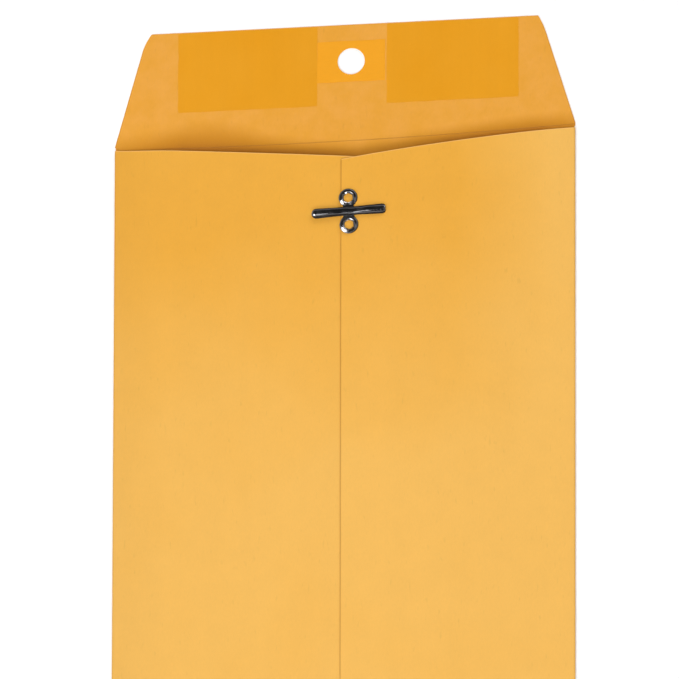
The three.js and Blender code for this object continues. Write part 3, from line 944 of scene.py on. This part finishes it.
def stem():
    """The bridge between the ears, with flaring fillets; the prongs' dome crosses it."""
    rows = np.linspace(-STEM_END, STEM_END, STEM_ROWS)
    shares = np.linspace(-1, 1, STEM_COLUMNS)
    radii = [r for r, z in RIM_OUTSIDE]
    heights = [z for r, z in RIM_OUTSIDE]
    at_bar, bar_run, bar_hollow = BAR_FILLET
    at_ear, ear_run, ear_hollow = EAR_FILLET
    edge_drop, edge_power = STEM_EDGE
    upper = np.zeros((shares.size, rows.size, 3))
    for j, y in enumerate(rows):
        off = abs(y)
        root = max(0.0, 1 - max(off - BAR_HALF, 0) / bar_run) ** bar_hollow
        ring = max(0.0, (off - EAR_FILLET_FROM) / ear_run) ** ear_hollow
        half = STEM_HALF + at_bar * root + at_ear * ring
        dome = BAR_DOME * max(0.0, 1 - (y / BAR_HALF) ** 2) ** DOME_FULLNESS
        covered = BAR_COVER * float(smooth(BAR_HALF - off, 0.0, 0.3))
        for i, s in enumerate(shares):
            x = s * half
            radius = math.hypot(x, EAR_SPACING / 2 - off)
            angle = math.atan2(x, EAR_SPACING / 2 - off)
            bead = float(np.interp(radius, radii, heights))
            bead = bead * (1 - NECK_FLATTENING * by_neck(angle))
            top = ((METAL + dome) ** STEM_MERGE + bead**STEM_MERGE) ** (1 / STEM_MERGE)
            sunk = covered + WELD * smooth(bead, 0.1, 0.5)
            rounded = edge_drop * abs(s) ** edge_power * (1 - root)
            upper[i, j] = (x, y, top - sunk - rounded)
    lower = upper.copy()
    lower[:, :, 2] = np.maximum(upper[:, :, 2] - METAL, 0)
    return upper, lower


def petal_mesh():
    """A tooth of the burr: down the hole's wall, then curled out flat under the panel. The path is
    in radius and height, the spread in degrees to each side."""
    path = [(2.56, 0.50), (2.43, 0.36), (2.28, 0.10), (2.16, -0.25), (2.10, -0.65), (2.22, -0.98)]
    path += [(2.55, -1.15), (3.05, -1.19), (3.80, -1.16)]
    spread = [27, 25, 23, 21, 18, 15, 11, 7, 1.5]
    faces = []
    for thick in (0.0, PETAL_THICKNESS):
        grid = []
        for k, ((r, z), wide) in enumerate(zip(path, spread)):
            ahead = path[min(k + 1, len(path) - 1)]
            behind = path[max(k - 1, 0)]
            run = Vector((ahead[0] - behind[0], ahead[1] - behind[1])).normalized()
            out_r = r - run.y * thick
            out_z = z + run.x * thick
            angles = np.radians(np.linspace(-wide, wide, 9))
            grid.append([(out_r * math.cos(a), out_r * math.sin(a), out_z) for a in angles])
        faces.append(np.array(grid))
    return closed_sheet("petal", *faces, (steel_finish,))


def burr_nodes():
    """Sets a tooth on each point of a circle, turned to face outwards, about both ears' centres."""
    tree = bpy.data.node_groups.new("clenched_burr", "GeometryNodeTree")
    sockets = {}
    for name, kind in (
        ("Tooth", "NodeSocketObject"),
        ("Teeth", "NodeSocketInt"),
        ("Spacing", "NodeSocketFloat"),
    ):
        item = tree.interface.new_socket(name, in_out="INPUT", socket_type=kind)
        sockets[name] = item.identifier
    tree.interface.new_socket("Burrs", in_out="OUTPUT", socket_type="NodeSocketGeometry")

    def node(kind, links, **settings):
        made = tree.nodes.new(kind)
        for key, value in settings.items():
            setattr(made, key, value)
        for key, value in links.items():
            if isinstance(value, bpy.types.NodeSocket):
                tree.links.new(value, made.inputs[key])
            else:
                made.inputs[key].default_value = value
        return made

    given = node("NodeGroupInput", {})
    teeth = given.outputs["Teeth"]
    tooth = node("GeometryNodeObjectInfo", {"Object": given.outputs["Tooth"]})
    places = node("GeometryNodePoints", {"Count": teeth})
    index = node("GeometryNodeInputIndex", {})
    step = node("ShaderNodeMath", {0: 2 * math.pi, 1: teeth}, operation="DIVIDE")
    angle = node("ShaderNodeMath", {0: index.outputs[0], 1: step.outputs[0]}, operation="MULTIPLY")
    turned = node("ShaderNodeCombineXYZ", {2: angle.outputs[0]})
    ring = node(
        "GeometryNodeInstanceOnPoints",
        {
            "Points": places.outputs[0],
            "Instance": tooth.outputs["Geometry"],
            "Rotation": turned.outputs[0],
        },
    )
    half = node("ShaderNodeMath", {0: given.outputs["Spacing"], 1: 0.5}, operation="MULTIPLY")
    both = node("GeometryNodeJoinGeometry", {})
    for sign in (-1.0, 1.0):
        shift = node("ShaderNodeMath", {0: half.outputs[0], 1: sign}, operation="MULTIPLY")
        offset = node("ShaderNodeCombineXYZ", {1: shift.outputs[0]})
        realized = node("GeometryNodeRealizeInstances", {"Geometry": ring.outputs[0]})
        moved = node(
            "GeometryNodeTransform",
            {"Geometry": realized.outputs[0], "Translation": offset.outputs[0]},
        )
        tree.links.new(moved.outputs[0], both.inputs[0])
    solid = node("GeometryNodeRealizeInstances", {"Geometry": both.outputs[0]})
    dressed = node("GeometryNodeSetMaterial", {"Geometry": solid.outputs[0], "Material": steel_finish})
    node("NodeGroupOutput", {0: dressed.outputs[0]})
    return tree, sockets


def on_clasp(piece):
    piece.data.transform(clasp_place)
    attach(piece, "root")
    return piece


ear_points, ear_faces, ear_painted_dark = [], [], []
for side in (-1, 1):
    ear(ear_points, ear_faces, ear_painted_dark, side)
ear_mesh = bpy.data.meshes.new("clasp_ears")
ear_mesh.from_pydata([Vector(p) * MM for p in ear_points], [], ear_faces)
store_painted_dark(ear_mesh, ear_painted_dark)
ears = on_clasp(piece_from("clasp_ears", ear_mesh, (steel_finish,), METAL_CRISP))
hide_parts("clasp_plate")

on_clasp(closed_sheet("clasp_stem", *stem(), (steel_finish,), METAL_CRISP))

tooth = petal_mesh()
burr_tree, burr_inputs = burr_nodes()
carrier = bpy.data.objects.new("clasp_burrs", bpy.data.meshes.new("clasp_burrs"))
scene.collection.objects.link(carrier)
placing = carrier.modifiers.new("burrs", "NODES")
placing.node_group = burr_tree
placing[burr_inputs["Tooth"]] = tooth
placing[burr_inputs["Teeth"]] = PETALS
placing[burr_inputs["Spacing"]] = EAR_SPACING * MM
burr_graph = bpy.context.evaluated_depsgraph_get()
burr_mesh = bpy.data.meshes.new_from_object(carrier.evaluated_get(burr_graph))
bpy.data.objects.remove(carrier)
bpy.data.objects.remove(tooth)
on_clasp(piece_from("clasp_burrs", burr_mesh, crisp=METAL_CRISP))


# The prongs. Two tongues of the same stamping, pressed half round to stiffen them and shallower
# at the root, where the soft sheet bends up by hand. They droop a little over the paper.

PRONG_LENGTH = 15.7
PRONG_WIDTH = 5.0
PRONG_ROOT = 4.3
PRONG_HEIGHT = 1.30
PRONG_RAMP = 8.0
PRONG_DROOP = 0.15
PRONG_STATIONS = 60
TIP_STATIONS = 22
PRONG_COLUMNS = 33
DOME_START = -0.5
ARCH_LEAD = 1.3  # the section is fully arched before the dome is at its full height
TIP_TURN = (0.06, 1.53)  # the angles between which the tip is rounded
LEFT_TIP = 2.0  # a power: 2 rounds the tip off as half a circle, more makes it squarer
RIGHT_TIP = 3.2
SHOULDER_PAINTED_DARK = (0.06, 0.5, 0.2)  # painted dark flanks: shift of the bright ridge, its half width, how soon the painted dark is full


def prong(name, side, squareness):
    tip_start = PRONG_LENGTH - PRONG_WIDTH / 2
    stations = [(s, 0.0) for s in np.linspace(-PRONG_REACH, tip_start, PRONG_STATIONS)]
    stations += [(tip_start, e) for e in np.sin(np.linspace(*TIP_TURN, TIP_STATIONS))]
    angles = np.linspace(-math.pi / 2, math.pi / 2, PRONG_COLUMNS)
    ridge_shift, ridge_half, flank_dark_run = SHOULDER_PAINTED_DARK
    shoulder = METAL / (METAL + BAR_DOME)
    faces, grime = [], []
    for wall in (0.0, METAL):
        grid = []
        for s, end in stations:
            shrink = (1 - end**squareness) ** (1 / squareness)
            taper = float(smooth(s, 0, tip_start))
            half = (PRONG_ROOT + (PRONG_WIDTH - PRONG_ROOT) * taper) / 2 - wall
            dome = float(smooth(s, DOME_START, PRONG_RAMP))
            rise = METAL + BAR_DOME + (PRONG_HEIGHT - METAL - BAR_DOME) * dome - wall
            reach = s + (PRONG_WIDTH / 2 - wall) * end
            droop = PRONG_DROOP * (max(s, 0) / tip_start) ** 2
            row = []
            for a in angles:
                across = math.sin(a)
                arch = math.cos(a)
                root = shoulder + (1 - shoulder) * max(0.0, 1 - across**2) ** DOME_FULLNESS
                if abs(across) > 0.999:
                    root = 0.0
                height = root + (arch - root) * min(1.0, dome * ARCH_LEAD)
                z = rise * shrink * height - droop
                row.append((reach, half * shrink * across, z))
                # The flanks are painted dark, a painted dark reflection; the ridge stays bright for
                # its highlight.
                flank_dark = (abs(across + ridge_shift) - ridge_half) / flank_dark_run
                grime.append(PAINTED_DARK_FULL * min(1.0, max(0.0, flank_dark)))
            grid.append(row)
        faces.append(np.array(grid))
    for face in faces:
        face[:, :, 0] += PRONG_REACH
        if side < 0:
            face *= (-1, -1, 1)
    piece = closed_sheet(name, *faces, (steel_finish,), METAL_CRISP)
    store_painted_dark(piece.data, grime)
    piece.data.transform(clasp_place)
    return piece


for side, label, squareness in ((-1, "left", LEFT_TIP), (1, "right", RIGHT_TIP)):
    tongue = prong(f"prong_{label}_tongue", side, squareness)
    hinge = Vector((HOLE_X, CLASP_Y, CLASP_Z + METAL))
    hinge += Vector((side, side * math.sin(CLASP_TURN), 0)) * PRONG_REACH
    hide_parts(f"clasp_prong_{label}")
    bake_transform(tongue)


# The studio: a white table, broad soft lamps in front, behind, at the left and high up, a faint
# strip overhead and a card at the right that glint on the metal, and a room that is pale at the
# horizon and dark above.

TABLE_SIZE = 12.0
TABLE_DROP = 0.00004
TABLE_WHITE = (1.0, 1.0, 1.0)
TABLE_BOUNCE = (0.78, 0.78, 0.78)
ROOM_STOPS = ((0.0, 0.95), (0.10, 0.9), (0.28, 0.30), (0.50, 0.07), (0.80, 0.035))
LAMP_AIM = (0, 0.05, 0)
LAMPS = (  # name, where it stands from the aim, how far off, its size, how bright its face is
    ("front_softbox", (0.10, -0.88, 0.46), 7.8, (6.6, 3.3), 5.5),
    ("left_softbox", (-0.74, -0.40, 0.56), 6.6, (3.3, 3.0), 5.2),
    ("back_softbox", (0.45, 0.83, 0.32), 8.4, (7.2, 2.4), 9.0),
    ("high_softbox", (-0.55, -0.15, 0.82), 6.0, (3.0, 2.4), 6.0),
    ("overhead_strip", (-0.210, -0.06, 0.976), 6.0, (1.2, 0.51), 2.4),
    ("right_card", (0.40, 0.10, 0.91), 6.0, (2.4, 1.8), 0.35),
)

half_table = TABLE_SIZE / 2
corners = [(x * half_table, y * half_table, 0) for x, y in ((-1, -1), (1, -1), (1, 1), (-1, 1))]
table_mesh = bpy.data.meshes.new("table")
table_mesh.from_pydata(corners, [], [(0, 1, 2, 3)])
table = bpy.data.objects.new("table", table_mesh)
table.location.z = -TABLE_DROP
scene.collection.objects.link(table)
table_finish = material("table_white")
seen = table_finish.add("ShaderNodeLightPath", {}, {}, out="Is Camera Ray")
for kind in ("Is Glossy Ray", "Is Transmission Ray"):
    seen = seen + table_finish.add("ShaderNodeLightPath", {}, {}, out=kind)
table_mesh.materials.append(
    table_finish.set(
        Base_Color=table_finish.mix(seen.clamped(), TABLE_BOUNCE, TABLE_WHITE),
        Roughness=0.9,
        Specular_IOR_Level=0.0,
    )
)


def softbox(name, toward, distance, size, radiance):
    """A rectangular lamp that faces the envelope's middle, given by how bright its face is."""
    data = bpy.data.lights.new(name, "AREA")
    data.shape = "RECTANGLE"
    data.size, data.size_y = size
    data.energy = radiance * math.pi * size[0] * size[1]
    piece = bpy.data.objects.new(name, data)
    scene.collection.objects.link(piece)
    away = Vector(toward).normalized()
    piece.location = away * distance + Vector(LAMP_AIM)
    piece.rotation_euler = away.to_track_quat("Z", "Y").to_euler()


for lamp in LAMPS:
    softbox(*lamp)

room = Finish(bpy.data.worlds.new("room"))
scene.world = room.data
ray = room.add("ShaderNodeTexCoord", {}, {}, out="Generated")
height = room.part(ray, "Z")
glow = ROOM_STOPS[0][1] + 0.0 * height
for (low, at_low), (high, at_high) in zip(ROOM_STOPS, ROOM_STOPS[1:]):
    glow = glow + ((height - low) / (high - low)).clamped() * (at_high - at_low)
room.feed(room.nodes["Background"].inputs["Color"], room.tint((1.0, 1.0, 1.0), glow))
